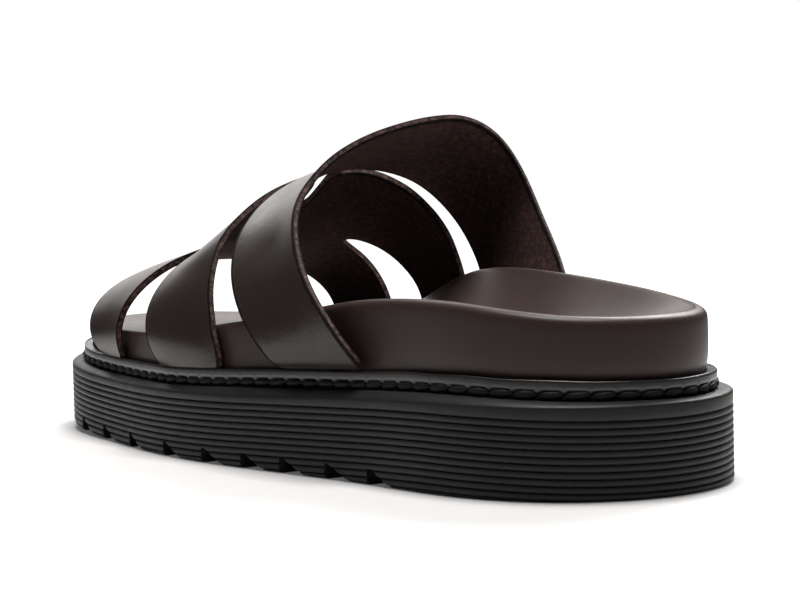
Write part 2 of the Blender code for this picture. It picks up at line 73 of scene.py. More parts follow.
def length_setting(name, description, default):
    return FloatProperty(
        name=name, description=description, unit="LENGTH", min=0, default=default, precision=5
    )


def plain_setting(name, description, default):
    return FloatProperty(name=name, description=description, min=0, default=default)


class SoleSettings(bpy.types.PropertyGroup):
    rubber: colour_setting("Rubber", "Colour of the moulded outsole", (0.0140, 0.0140, 0.0139))
    groove_depth: length_setting("Groove depth", "Depth of the grooves of the side", 0.6 * MM)
    tread_groove: length_setting("Tread groove", "Width of the grooves of the tread", 2.6 * MM)
    welt_colour: colour_setting("Welt", "Colour of the welt strip", (0.0150, 0.0146, 0.0141))
    # The thread's colour is also painted on the stitch channel's lining as shade.
    thread: colour_setting("Thread", "Colour of the welt's thread", (0.0035, 0.0035, 0.0037))
    stitches: IntProperty(
        name="Stitches", description="Number of stitches round the welt", min=8, default=96
    )
    thread_width: length_setting("Thread width", "Thickness of the waxed thread", 2.1 * MM)
    channel_depth: length_setting("Channel depth", "How deep the stitch channel is", 0.7 * MM)


class FootbedSettings(bpy.types.PropertyGroup):
    cover: colour_setting("Cover", "Colour of the leather cover", (0.0480, 0.0310, 0.0275))
    grain: length_setting("Grain", "Size of the cover's grain", 0.7 * MM)


class LeatherSettings(bpy.types.PropertyGroup):
    face: colour_setting("Face", "Colour of the smooth outer face", (0.0250, 0.0165, 0.0142))
    flesh: colour_setting("Flesh side", "Colour of the raw inner face", (0.0320, 0.0215, 0.0200))
    fibre: colour_setting("Fibres", "Colour of the loose fibres inside", (0.1150, 0.0500, 0.0420))
    cut_edge: colour_setting("Cut edge", "Colour of the raw cut edges", (0.0700, 0.0380, 0.0330))
    # Painted shade: the dark colour laid on the rounded rims of the cut edges.
    burnish: colour_setting("Painted rim shade", "Colour of the cuts' rubbed rims", (0.0080, 0.0058, 0.0054))
    grain: length_setting("Grain", "Size of the leather's grain", 0.9 * MM)
    edge_round: length_setting("Edge rounding", "Width of the cut edges' bevel", 0.32 * MM)


class StageSettings(bpy.types.PropertyGroup):
    floor: plain_setting("Floor", "Paleness of the floor by the sandal", 0.8)
    floor_glow: plain_setting("Floor glow", "Whiteness added to the floor by the sandal", 0.08)
    room: plain_setting("Room", "Brightness of the room around", 0.09)
    top_power: plain_setting("Top light", "Power of the overhead light", 12.0)
    side_power: plain_setting("Side light", "Power of the light on the inner side", 8.5)
    back_power: plain_setting("Back light", "Power of the light past the toe", 2.4)
    low_power: plain_setting("Low light", "Power of the strip light near the floor", 0.8)
    lens: plain_setting("Lens", "Focal length of the camera in millimetres", 104.4)


# ---- meshes --------------------------------------------------------------------------------------
def merged_copy(node):
    """A welded copy of a frame node's mesh."""
    shape = bmesh.new()
    shape.from_mesh(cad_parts[node].data)
    bmesh.ops.remove_doubles(shape, verts=shape.verts, dist=2 * WELD)
    bmesh.ops.dissolve_degenerate(shape, edges=shape.edges, dist=2 * WELD)
    return shape


def add_piece(shape, name, materials, replaced=()):
    """Makes the bmesh a finished piece that rides on the sandal."""
    mesh = bpy.data.meshes.new(name)
    shape.to_mesh(mesh)
    shape.free()
    for material in materials:
        mesh.materials.append(material)
    piece = bpy.data.objects.new(name, mesh)
    bpy.context.scene.collection.objects.link(piece)
    mesh.shade_smooth()
    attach(piece, BODY)
    if replaced:
        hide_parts(*replaced)
    return piece


def settle(piece):
    """Turns the piece's modifiers into plain mesh."""
    graph = bpy.context.evaluated_depsgraph_get()
    settled = bpy.data.meshes.new_from_object(piece.evaluated_get(graph), depsgraph=graph)
    old = piece.data
    piece.modifiers.clear()
    piece.data = settled
    bpy.data.meshes.remove(old)
    piece.data.name = piece.name


def subdivide(piece, levels):
    """Rounds the piece with a subdivision surface and keeps the result as mesh."""
    modifier = piece.modifiers.new("smooth", "SUBSURF")
    modifier.levels = levels
    modifier.render_levels = levels
    settle(piece)


def closed_curve(points, count):
    """A smooth closed curve through the points at count equal steps, and its normals in plan.

    The points are put in order round the origin and joined by a Catmull-Rom spline. The normals
    point outwards.
    """
    ring = np.array(points)
    ring = ring[np.argsort(np.arctan2(ring[:, 1], ring[:, 0]))]
    before, after, beyond = (np.roll(ring, shift, axis=0) for shift in (1, -1, -2))
    fine = []
    for share in np.linspace(0, 1, SPLINE_STEPS, endpoint=False):
        fine.append(
            0.5
            * (
                2 * ring
                + (after - before) * share
                + (2 * before - 5 * ring + 4 * after - beyond) * share**2
                + (3 * ring - before - 3 * after + beyond) * share**3
            )
        )
    dense = np.stack(fine, axis=1).reshape(-1, 3)
    dense = np.vstack([dense, dense[:1]])
    travel = np.concatenate([[0], np.cumsum(np.linalg.norm(np.diff(dense, axis=0), axis=1))])
    at = np.linspace(0, travel[-1], count, endpoint=False)
    curve = np.column_stack([np.interp(at, travel, dense[:, k]) for k in range(3)])
    along = np.roll(curve, -1, axis=0) - np.roll(curve, 1, axis=0)
    normals = np.column_stack([along[:, 1], -along[:, 0], np.zeros(count)])
    normals /= np.linalg.norm(normals, axis=1)[:, None]
    return curve, normals


def ring_where(shape, low_face, side_face):
    """Points of the edges between a face that passes low_face and one that passes side_face."""
    found = set()
    for edge in shape.edges:
        if len(edge.link_faces) != 2:
            continue
        for one, other in (edge.link_faces, reversed(edge.link_faces)):
            if low_face(one) and side_face(other):
                found.update(edge.verts)
    return [tuple(vert.co) for vert in found]


def edge_angle(edge):
    """The angle over an edge between two faces, or a half turn on an open or doubled edge."""
    return edge.calc_face_angle() if len(edge.link_faces) == 2 else math.pi


def faces_outwards(face):
    """Whether an upright face looks away from the middle of the sole."""
    middle = face.calc_center_median()
    return abs(face.normal.z) < 0.5 and face.normal.x * middle.x + face.normal.y * middle.y > 0


# ---- materials -----------------------------------------------------------------------------------
class Finish:
    """A Principled material under construction."""

    def __init__(self, name, roughness, specular=0.5):
        self.material = bpy.data.materials.new(name)
        self.material.use_nodes = True
        self.tree = self.material.node_tree
        self.shader = self.tree.nodes["Principled BSDF"]
        self.shader.inputs["Roughness"].default_value = roughness
        self.shader.inputs["Specular IOR Level"].default_value = specular
        self.place = self.tree.nodes.new("ShaderNodeTexCoord").outputs["Object"]

    def node(self, kind, **inputs):
        made = self.tree.nodes.new(kind)
        for key, value in inputs.items():
            socket = made.inputs[key.replace("_", " ")]
            if isinstance(value, bpy.types.NodeSocket):
                self.tree.links.new(value, socket)
            else:
                socket.default_value = value
        return made

    def speckle(self, size, detail=2.0, rough=0.5):
        """Soft noise about as coarse as size, 0 to 1."""
        made = self.node(
            "ShaderNodeTexNoise",
            Vector=self.place,
            Scale=0.6 / size,
            Detail=detail,
            Roughness=rough,
        )
        return made.outputs["Fac"]

    def cells(self, size):
        """Grain cells about size across, 0 at their middles."""
        made = self.node("ShaderNodeTexVoronoi", Vector=self.place, Scale=1.0 / size)
        made.feature = "SMOOTH_F1"
        return made.outputs["Distance"]

    def ramp(self, value, low, high, start=0.0, end=1.0):
        """The value, from low to high between start and end."""
        made = self.node(
            "ShaderNodeMapRange",
            Value=value,
            **{"From Min": start, "From Max": end, "To Min": low, "To Max": high},
        )
        return made.outputs["Result"]

    def blend_colours(self, value, first, second):
        made = self.tree.nodes.new("ShaderNodeMix")
        made.data_type = "RGBA"
        self.tree.links.new(value, made.inputs["Factor"])
        made.inputs["A"].default_value = (*first, 1)
        made.inputs["B"].default_value = (*second, 1)
        return made.outputs["Result"]

    def set(self, socket, value):
        self.tree.links.new(value, self.shader.inputs[socket])

    def cloud(self, size, colour, dark, pale, detail=3):
        """Colours the surface in soft patches, from dark to pale times the colour."""
        patches = self.speckle(size, detail=detail)
        self.colour(patches, scaled(colour, dark), scaled(colour, pale))

    def colour(self, value, first, second):
        """Colours the surface from first to second by the value."""
        self.set("Base Color", self.blend_colours(value, first, second))

    def bump(self, height, depth, strength=1.0):
        """Adds a layer of relief, depth metres deep."""
        made = self.node("ShaderNodeBump", Height=height, Strength=strength, Distance=depth)
        normal = self.shader.inputs["Normal"]
        if normal.is_linked:
            self.tree.links.new(normal.links[0].from_socket, made.inputs["Normal"])
        self.tree.links.new(made.outputs["Normal"], normal)


def scaled(colour, factor):
    """The colour made darker or paler."""
    return tuple(min(1.0, part * factor) for part in colour)


def rubber_finish(name, colour, roughness=0.48, specular=0.3):
    """Moulded rubber, a little uneven in gloss."""
    finish = Finish(name, roughness, specular)
    finish.cloud(9 * MM, colour, 0.85, 1.25)
    gloss = finish.speckle(3 * MM)
    finish.set("Roughness", finish.ramp(gloss, roughness - 0.09, roughness + 0.09))
    finish.bump(finish.speckle(0.5 * MM, detail=3), 0.06 * MM, 0.6)
    return finish.material


def face_finish(settings):
    """The straps' smooth outer face."""
    finish = Finish("strap_leather_face", 0.35, specular=0.35)
    finish.cloud(22 * MM, tuple(settings.face), 0.85, 1.2)
    finish.set("Roughness", finish.ramp(finish.speckle(2.5 * MM, detail=4), 0.26, 0.37))
    finish.bump(finish.cells(settings.grain), 0.07 * MM, 0.5)
    finish.bump(finish.speckle(0.45 * MM, detail=4), 0.06 * MM, 0.6)
    return finish.material


def flesh_finish(settings):
    """The straps' raw inner face with its short loose fibres."""
    finish = Finish("strap_leather_flesh", 0.95, specular=0.15)
    fuzz = finish.ramp(finish.speckle(1.0 * MM, detail=6, rough=0.75), 0.0, 1.0, 0.47, 0.66)
    finish.colour(fuzz, tuple(settings.flesh), tuple(settings.fibre))
    finish.shader.inputs["Sheen Weight"].default_value = 0.12
    finish.shader.inputs["Sheen Roughness"].default_value = 0.5
    finish.shader.inputs["Sheen Tint"].default_value = (0.8, 0.45, 0.4, 1)
    finish.bump(finish.speckle(0.9 * MM, detail=5, rough=0.7), 0.25 * MM, 0.7)
    return finish.material


def cut_edge_finish(settings):
    """The raw cut edges, with pale and dark fibres."""
    finish = Finish("strap_leather_cut_edge", 0.8, specular=0.3)
    colour = tuple(settings.cut_edge)
    fibres = finish.ramp(finish.speckle(0.9 * MM, detail=5, rough=0.7), 0.0, 1.0, 0.42, 0.64)
    finish.colour(fibres, scaled(colour, 0.15), scaled(colour, 2.2))
    finish.bump(finish.speckle(0.5 * MM, detail=3), 0.12 * MM, 0.7)
    return finish.material


def painted_rim_shade_finish(settings):
    """Painted shade: dark rims on the rounding along both sides of a cut edge, uneven in patches."""
    finish = Finish("strap_leather_burnish", 0.75, specular=0.1)
    colour = tuple(settings.burnish)
    shade_patches = finish.ramp(finish.speckle(1.6 * MM, detail=4), 0.0, 1.0, 0.4, 0.7)
    finish.colour(shade_patches, scaled(colour, 0.8), scaled(colour, 2.5))
    finish.bump(finish.speckle(0.5 * MM, detail=3), 0.05 * MM, 0.6)
    return finish.material


def cover_finish(settings):
    """The footbed's fine smooth leather cover."""
    finish = Finish("footbed_cover", 0.38, specular=0.25)
    finish.cloud(26 * MM, tuple(settings.cover), 0.9, 1.12)
    finish.set("Roughness", finish.ramp(finish.speckle(3 * MM, detail=3), 0.34, 0.44))
    finish.bump(finish.cells(settings.grain), 0.03 * MM, 0.5)
    finish.bump(finish.speckle(0.3 * MM, detail=2), 0.02 * MM, 0.5)
    return finish.material


# ---- pieces --------------------------------------------------------------------------------------
# Lengths here are in mm, and places along the sole are counted from the back of the heel.
RIB_PITCH = 1.83
RIBS = 12
RIM_ROUND = 0.8  # height of the rim's rounding, which the frame's solid has as a bevel
WELT_SINK = 0.35  # how far the sole's top lies under the foot of the welt
FIRST_GROOVE = 2.38  # below the rim, where the plain band is narrowest
PLAIN_BAND = (  # place, and how much taller the band over the first groove is there
    (0, 1.8),
    (25, 1.3),
    (50, 0.9),
    (85, 0.8),
    (120, 0.3),
    (150, 0.3),
    (180, 0.4),
    (220, 0.5),
    (290, 0.6),
)
TREAD_ROUND = 1.5  # rounding of the tread's edge
LUG_CUTS = (73, 91, 110, 127, 146, 168, 194.5, 218, 239)  # places of the wedge cuts
# A cut's corners, as how far towards the toe and how high over the tread.
LUG_SECTION = ((0.6, -4.0), (0.0, 4.5), (-1.2, 4.5), (-11.0, -0.4), (-11.0, -4.0))
LUG_DEPTH = 14  # how far a cut runs inwards
LUG_SWEEP = 22  # length of its cutter
TREAD_ROWS = 19
TREAD_PITCH = 13.4  # between rows of tread grooves, and the length of one bar
TREAD_START = -124  # the first row, from the middle of the sole
TREAD_COLUMN = 11  # between bars across the sole
TREAD_BAR_HEIGHT = 2.4  # half of it cuts into the tread
TREAD_LEAN = 32  # degrees
SHARP_RUBBER = math.radians(42)  # edges over this are shaded as edges
SHARP_WELT = math.radians(55)


def tread_lift(y):
    """Height of the tread over the floor: flat, then curving up to the toe."""
    return TOE_SPRING * MM * max(0.0, (y / MM - TREAD_FLAT) / (HALF_LENGTH - TREAD_FLAT)) ** 2


def rib_rows(depth):
    """The side's section from the top down.

    Each row is how far in from the edge, how far below the rim, and its shares of the shoulder's
    rise and of the plain band's extra height.
    """
    rows = [(9.0, 0.0, 1, 0), (3.7, 0.0, 1, 0), (3.1, 0.02, 0.94, 0), (2.4, 0.02, 0.74, 0)]
    rows += [(1.7, 0.03, 0.48, 0), (1.1, 0.07, 0.25, 0), (0.6, 0.17, 0.08, 0), (0.26, 0.36, 0, 0)]
    rows += [(0.07, 0.62, 0, 0), (0.0, 1.0, 0, 0), (0.0, 1.5, 0, 0.6)]
    rows += [(0.06, 1.95, 0, 1), (0.22, 2.2, 0, 1)]
    for rib in range(RIBS):
        for share in (0.0, 0.07, 0.17, 0.32, 0.5, 0.68, 0.83, 0.93):
            inset = depth * (1 - (1 - abs(2 * share - 1) ** 3) ** 0.6)
            rows.append((inset, FIRST_GROOVE + (rib + share) * RIB_PITCH, 0, 1))
    return rows + [(0.0, 25.2, 0, 1), (0.0, 26.0, 0, 1)]


def side_cutters(shape, curve):
    """Wedges for both edges of the tread, steep towards the toe and a ramp towards the heel."""
    for from_heel in LUG_CUTS:
        y = (from_heel - HALF_LENGTH) * MM
        near = sorted(range(len(curve)), key=lambda k: abs(curve[k][1] - y))[:12]
        for side in (-1, 1):
            edge = max(side * curve[k][0] for k in near) * side
            floor = tread_lift(y)
            inner = edge - side * LUG_DEPTH * MM
            corners = [
                shape.verts.new((inner, y + along * MM, floor + up * MM))
                for along, up in LUG_SECTION
            ]
            face = shape.faces.new(corners)
            swept = bmesh.ops.extrude_face_region(shape, geom=[face])["geom"]
            moved = [item for item in swept if isinstance(item, bmesh.types.BMVert)]
            bmesh.ops.translate(shape, verts=moved, vec=(side * LUG_SWEEP * MM, 0, 0))


def tread_cutters(shape, width):
    """Shallow zigzag grooves across the tread, clear of the sole's edge."""
    for row in range(TREAD_ROWS):
        y = (TREAD_START + TREAD_PITCH * row) * MM
        for column in range(-2, 3):
            if abs(column) == 2 and not 2 <= row <= TREAD_ROWS - 3:
                continue
            bar = bmesh.ops.create_cube(shape, size=1.0)["verts"]
            bmesh.ops.scale(
                shape, verts=bar, vec=(TREAD_PITCH * MM, width, TREAD_BAR_HEIGHT * MM)
            )
            lean = math.radians(TREAD_LEAN if column % 2 else -TREAD_LEAN)
            bmesh.ops.rotate(shape, verts=bar, matrix=Matrix.Rotation(lean, 3, "Z"))
            x = TREAD_COLUMN * MM * column
            bmesh.ops.translate(shape, verts=bar, vec=(x, y, tread_lift(y)))


def cut_away(piece, shape):
    """Takes the shape out of the piece."""
    bmesh.ops.recalc_face_normals(shape, faces=shape.faces)
    mesh = bpy.data.meshes.new("cutter")
    shape.to_mesh(mesh)
    shape.free()
    cutter = bpy.data.objects.new("cutter", mesh)
    bpy.context.scene.collection.objects.link(cutter)
    modifier = piece.modifiers.new("cut", "BOOLEAN")
    modifier.operation = "DIFFERENCE"
    modifier.solver = "EXACT"
    modifier.use_self = True
    modifier.object = cutter
    settle(piece)
    bpy.data.objects.remove(cutter)
    bpy.data.meshes.remove(mesh)


def lofted(rows, count, place, second=()):
    """A grid closed round the sole, count stations by the rows, with each point put by place.

    The faces that start at the rows numbered in second get the piece's second material.
    """
    shape = bmesh.new()
    bmesh.ops.create_grid(shape, x_segments=count, y_segments=len(rows) - 1, size=0.5)
    for face in shape.faces:
        row = round((face.calc_center_median().y + 0.5) * (len(rows) - 1) - 0.5)
        face.material_index = int(row in second)
    for vert in shape.verts:
        station = round((vert.co.x + 0.5) * count) % count
        row = round((vert.co.y + 0.5) * (len(rows) - 1))
        vert.co = place(station, rows[row])
    return shape


class SANDAL_OT_outsole(bpy.types.Operator):
    """Moulds the ribbed outsole with its rounded rim, lugs and tread"""

    bl_idname = "sandal.outsole"
    bl_label = "Outsole"
    bl_options = {"REGISTER", "UNDO"}

    def execute(self, context):
        settings = context.scene.sandal_sole
        solid = merged_copy("outsole")
        rim = ring_where(
            solid, lambda face: abs(face.normal.z) < 0.12, lambda face: 0.25 < face.normal.z < 0.6
        )
        solid.free()
        count = 300
        curve, outward = closed_curve(rim, count)
        curve[:, 2] += RIM_ROUND * MM
        welt_foot, _ = welt_outline(count)
        apart = np.linalg.norm(curve[:, None, :2] - welt_foot[None, :, :2], axis=2)
        deck = welt_foot[apart.argmin(axis=1), 2] - WELT_SINK * MM
        from_heel, extra = zip(*PLAIN_BAND)
        band = np.interp(curve[:, 1] / MM + HALF_LENGTH, from_heel, extra)

        def place(station, row):
            inset, drop, rise, band_share = row
            x, y, height = curve[station]
            drop += band_share * band[station]
            floor = tread_lift(y)
            over = (height + rise * (deck[station] - height) - drop * MM - floor) / MM
            if drop > 2:  # a groove runs out where it meets the tread
                inset *= min(1.0, max(0.0, over / 0.6))
            if over < TREAD_ROUND:
                inset += TREAD_ROUND * (1 - math.sqrt(1 - min(1.0, 1 - over / TREAD_ROUND) ** 2))
            inset += max(0.0, -over) * 0.5  # rows past the tread are drawn in along it
            away = outward[station] * inset * MM
            return x - away[0], y - away[1], floor + max(0.0, over) * MM

        shape = lofted(rib_rows(settings.groove_depth / MM), count, place)
        bmesh.ops.remove_doubles(shape, verts=shape.verts, dist=WELD)
        bmesh.ops.holes_fill(shape, edges=shape.edges, sides=0)
        bmesh.ops.triangulate(shape, faces=[face for face in shape.faces if len(face.verts) > 4])
        bmesh.ops.recalc_face_normals(shape, faces=shape.faces)
        rubber = rubber_finish("outsole_rubber", tuple(settings.rubber))
        piece = add_piece(shape, "ribbed_outsole", [rubber], ["outsole"])
        cutters = bmesh.new()
        side_cutters(cutters, curve)
        tread_cutters(cutters, settings.tread_groove)
        cut_away(piece, cutters)
        piece.data.set_sharp_from_angle(angle=SHARP_RUBBER)
        return {"FINISHED"}


PER_STITCH = 10  # stations of the welt to one stitch
WELT_SECTION = (  # inset from the outer foot, lift, share of the channel's depth
    (2.85, 0.0, 0),
    (0.1, 0.0, 0),
    (0.0, 0.1, 0.2),
    (0.1, 0.35, 0.7),
    (0.15, 0.8, 1),
    (0.15, 1.7, 1),
    (0.1, 2.2, 0.3),
    (0.12, 2.45, 0),
    (0.16, 3.3, 0),
    (0.16, 3.95, 0),
    (0.19, 4.25, 0),
    (0.28, 4.5, 0),
    (0.44, 4.66, 0),
    (0.6, 4.71, 0),
    (0.7, 4.62, 0),
    (0.74, 4.4, 0),
    (2.85, 4.35, 0),
)
PAINTED_SHADE_ROWS = range(1, 5)  # the faces of the section that line the channel, painted near-black as the shade in the channel


def welt_outline(count):
    """The welt's lower outer edge as a closed curve, with its outward normals."""
    shape = merged_copy("welt")
    low = ring_where(shape, lambda face: face.normal.z < -0.9, faces_outwards)
    shape.free()
    return closed_curve(low, count)


class SANDAL_OT_welt(bpy.types.Operator):
    """Makes the welt with the channel that its stitches lie in"""

    bl_idname = "sandal.welt"
    bl_label = "Welt"
    bl_options = {"REGISTER", "UNDO"}

    def execute(self, context):
        settings = context.scene.sandal_sole
        count = settings.stitches * PER_STITCH
        curve, outward = welt_outline(count)
        depth = settings.channel_depth / MM

        def place(station, row):
            inset, lift, channel = row
            to_hole = abs((station % PER_STITCH) - PER_STITCH / 2) / (PER_STITCH / 2)
            # Between two stitches the channel's upper wall comes forward as a small tooth.
            tooth = max(0.0, (to_hole - 0.6) / 0.4) if lift > 1.5 else 0.0
            inset += channel * depth * (1 - tooth)
            spot = curve[station]
            ripple = noise.noise(Vector((spot[0], spot[1], 0)) * 60)
            if lift > 2:  # the strip over the channel is slightly wavy
                lift += 0.22 * ripple * (lift - 2) / 2
                inset += 0.18 * ripple
            away = outward[station] * inset * MM
            return spot[0] - away[0], spot[1] - away[1], spot[2] + lift * MM

        section = WELT_SECTION + WELT_SECTION[:1]
        shape = lofted(section, count, place, second=PAINTED_SHADE_ROWS)
        bmesh.ops.remove_doubles(shape, verts=shape.verts, dist=WELD)
        bmesh.ops.recalc_face_normals(shape, faces=shape.faces)
        colour = tuple(settings.welt_colour)
        rubber = rubber_finish("welt_strip", colour, roughness=0.32, specular=0.7)
        # Painted shade: the channel's lining gets the thread's near-black colour in place of the
        # shadow that falls in it.
        channel = rubber_finish("welt_channel", tuple(settings.thread), specular=0.1)
        piece = add_piece(shape, "stitched_welt", [rubber, channel], ["welt"])
        piece.data.set_sharp_from_angle(angle=SHARP_WELT)
        return {"FINISHED"}


class SANDAL_OT_stitches(bpy.types.Operator):
    """Lays the row of coarse stitches in the welt's channel"""

    bl_idname = "sandal.stitches"
    bl_label = "Stitches"
    bl_options = {"REGISTER", "UNDO"}

    def execute(self, context):
        settings = context.scene.sandal_sole
        count = settings.stitches * PER_STITCH
        curve, outward = welt_outline(count)
        radius = settings.thread_width / 2
        shape = bmesh.new()
        for k in range(settings.stitches):
            ball = bmesh.ops.create_uvsphere(shape, u_segments=10, v_segments=10, radius=1.0)
            odd = noise.noise_vector(Vector((k * 1.7, 0.3, 0.9)))
            for vert in ball["verts"]:
                # The ball's poles become the stitch's ends, which dive into the channel.
                along = vert.co.z * (0.57 + 0.05 * odd.x) * PER_STITCH
                station = (k + 0.5) * PER_STITCH + along
                low = int(math.floor(station)) % count
                part = station - math.floor(station)
                base = Vector(curve[low]).lerp(Vector(curve[(low + 1) % count]), part)
                away = Vector(outward[low])
                swell = (1 - abs(vert.co.z) ** 2.3) ** 0.5
                size = math.hypot(vert.co.x, vert.co.y)
                turn = math.atan2(vert.co.y, vert.co.x)
                lump = noise.noise(Vector((k * 3.1, vert.co.z * 2.2, turn))) * 0.22
                reach = radius * swell * (1 + lump + 0.12 * odd.y) if size > 1e-6 else 0
                dive = (1 - swell) * 0.8 * MM
                out = -0.5 * MM - dive + reach * math.cos(turn)
                slant = vert.co.z * (0.2 + 0.35 * odd.z)
                rise = (1.05 + slant) * MM + reach * math.sin(turn)
                vert.co = base + away * out + Vector((0, 0, rise))
        bmesh.ops.recalc_face_normals(shape, faces=shape.faces)
        thread = Finish("waxed_thread", 0.6, specular=0.25)
        colour = tuple(settings.thread)
        strands = thread.speckle(0.7 * MM, detail=2)
        thread.colour(strands, scaled(colour, 0.7), scaled(colour, 1.6))
        thread.bump(strands, 0.12 * MM, 0.8)
        add_piece(shape, "welt_stitches", [thread.material])
        return {"FINISHED"}


FLAT = math.radians(12)  # triangles that meet flatter than this may be joined
CREASED = math.radians(60)  # edges of the footbed that stay crisp are sharper than this


class SANDAL_OT_footbed(bpy.types.Operator):
    """Smooths the moulded footbed and covers it in leather"""

    bl_idname = "sandal.footbed"
    bl_label = "Footbed"
    bl_options = {"REGISTER", "UNDO"}

    def execute(self, context):
        settings = context.scene.sandal_footbed
        shape = merged_copy("footbed")
        bmesh.ops.join_triangles(
            shape,
            faces=shape.faces,
            angle_face_threshold=FLAT,
            angle_shape_threshold=math.radians(60),
        )
        creases = shape.edges.layers.float.new("crease_edge")
        for edge in shape.edges:
            if len(edge.link_faces) == 2 and edge.calc_face_angle() > CREASED:
                edge[creases] = 1.0
        cover = cover_finish(settings)
        piece = add_piece(shape, "covered_footbed", [cover], ["footbed"])
        subdivide(piece, 2)
        return {"FINISHED"}


def grown_region(start, limit):
    """Faces reached from the first without crossing an edge sharper than the limit."""
    region = {start}
    waiting = [start]
    while waiting:
        face = waiting.pop()
        for edge in face.edges:
            if edge_angle(edge) > limit:
                continue
            for other in edge.link_faces:
                if other not in region:
                    region.add(other)
                    waiting.append(other)
    return region


FACE, FLESH, CUT_EDGE, PAINTED_RIM_SHADE = 0, 1, 2, 3  # material slots of a strap; the last is painted shade on the cut edges' rounded rims
SIDE_LIMIT = math.radians(48)  # a sharper edge parts the strap's faces from its cut edges
FOOT_HEIGHT = 36  # mm; the ends of the straps that stand on the welt lie below this
FOOT_REACH = 0.25  # mm that they are let down towards the welt

# Soft creases as start and end in mm, reach and depth in mm; a negative depth is a ridge.
INSTEP_CREASES = (
    ((-53, -62, 66), (-44, -20, 66), 7, 0.45),
    ((-55, -66, 54), (-48, -18, 54), 6, -0.25),
    ((-30, -40, 88), (-24, 2, 76), 8, 0.3),
    ((50, -44, 70), (46, 2, 64), 8, 0.4),
    ((30, -30, 96), (26, 8, 84), 8, -0.25),
)
VAMP_CREASES = (
    ((-50, 2, 58), (-46, 36, 52), 6, 0.4),
    ((-30, 18, 74), (-22, 50, 66), 7, 0.3),
    ((50, 8, 58), (46, 40, 52), 6, 0.4),
    ((-20, 70, 60), (-12, 98, 54), 6, 0.35),
    ((22, 66, 62), (20, 96, 55), 6, 0.3),
    ((4, 60, 66), (6, 100, 56), 5, -0.2),
)


def even_out(shape):
    """Welds points closer than 0.3 mm and makes mostly regular quads of the triangles."""
    bmesh.ops.remove_doubles(shape, verts=shape.verts, dist=0.3 * MM)
    for limit, method in ((math.radians(25), "ANGLE"), (FLAT, "AREA")):
        bmesh.ops.beautify_fill(
            shape,
            faces=shape.faces,
            edges=[edge for edge in shape.edges if edge_angle(edge) < limit],
            use_restrict_tag=False,
            method=method,
        )
    bmesh.ops.join_triangles(
        shape,
        faces=shape.faces,
        angle_face_threshold=FLAT,
        angle_shape_threshold=math.radians(50),
    )


def mark_sides(shape):
    """Gives the strap's two large faces and its cut edges their material slots."""
    left = set(shape.faces)
    regions = []
    while left:
        region = grown_region(next(iter(left)), SIDE_LIMIT)
        left -= region
        regions.append(region)
    regions.sort(key=lambda region: -sum(face.calc_area() for face in region))
    for region in regions:
        for face in region:
            face.material_index = CUT_EDGE
    for region in regions[:2]:
        lean = 0.0
        for face in region:
            away = face.calc_center_median() - FOOT_AXIS
            away.y = 0
            lean += face.normal.dot(away) * face.calc_area()
        for face in region:
            face.material_index = FACE if lean > 0 else FLESH


def strap_shape(node, edge_round):
    """A welded strap whose faces know their side, with rounded cut edges."""
    shape = merged_copy(node)
    even_out(shape)
    mark_sides(shape)
    feet = {
        vert
        for face in shape.faces
        if face.normal.z < -0.8 and face.material_index == CUT_EDGE
        for vert in face.verts
        if vert.co.z < FOOT_HEIGHT * MM
    }
    bmesh.ops.translate(shape, verts=list(feet), vec=(0, 0, -FOOT_REACH * MM))
    borders = [
        edge
        for edge in shape.edges
        if len(edge.link_faces) == 2
        and edge.link_faces[0].material_index != edge.link_faces[1].material_index
    ]
    # The bevel's rounded rims get the painted shade of the cut edges.
    bmesh.ops.bevel(
        shape,
        geom=borders,
        affect="EDGES",
        offset=edge_round,
        segments=2,
        profile=0.5,
        material=PAINTED_RIM_SHADE,
        clamp_overlap=True,
    )
    return shape


def distance_to_segment(point, start, end):
    """How far the point lies from the straight line between start and end."""
    along = end - start
    share = max(0.0, min(1.0, (point - start).dot(along) / along.length_squared))
    return (point - start - along * share).length


def wear_in(piece, creases):
    """Gives the leather its slight waviness and the soft creases."""
    for vert in piece.data.vertices:
        spot = vert.co.copy()
        away = spot - FOOT_AXIS
        away.y = 0
        away.normalize()
        # The leather keeps still up to 42 mm high, and gives fully from 14 mm above that.
        free = min(1.0, max(0.0, (spot.z - 42 * MM) / (14 * MM)))
        push = 0.25 * noise.noise(spot * 26) + 0.1 * noise.noise(spot * 70)
        for start, end, reach, depth in creases:
            distance = distance_to_segment(spot / MM, Vector(start), Vector(end))
            push -= depth * math.exp(-((distance / reach) ** 2))
        vert.co = spot + away * push * free * MM


def strap_finishes(settings):
    """The materials of FACE, FLESH, CUT_EDGE and the painted shade of the cut edges' rims, which
    both straps share.
    """
    names = [f"strap_leather_{part}" for part in ("face", "flesh", "cut_edge", "burnish")]
    if names[0] in bpy.data.materials:
        return [bpy.data.materials[name] for name in names]
    makers = (face_finish, flesh_finish, cut_edge_finish, painted_rim_shade_finish)
    return [maker(settings) for maker in makers]


def make_strap(settings, node, creases):
    """Dresses the frame's strap node in worn leather."""
    shape = strap_shape(node, settings.edge_round)
    finishes = strap_finishes(settings)
    piece = add_piece(shape, f"leather_{node}", finishes, [node])
    subdivide(piece, 2)
    wear_in(piece, creases)


class SANDAL_OT_instep_strap(bpy.types.Operator):
    """Cuts the wide instep strap from thick leather"""

    bl_idname = "sandal.instep_strap"
    bl_label = "Instep strap"
    bl_options = {"REGISTER", "UNDO"}

    def execute(self, context):
        make_strap(context.scene.sandal_leather, "instep_strap", INSTEP_CREASES)
        return {"FINISHED"}


class SANDAL_OT_vamp(bpy.types.Operator):
    """Cuts the slit vamp from thick leather"""

    bl_idname = "sandal.vamp"
    bl_label = "Vamp"
    bl_options = {"REGISTER", "UNDO"}

    def execute(self, context):
        make_strap(context.scene.sandal_leather, "vamp", VAMP_CREASES)
        return {"FINISHED"}


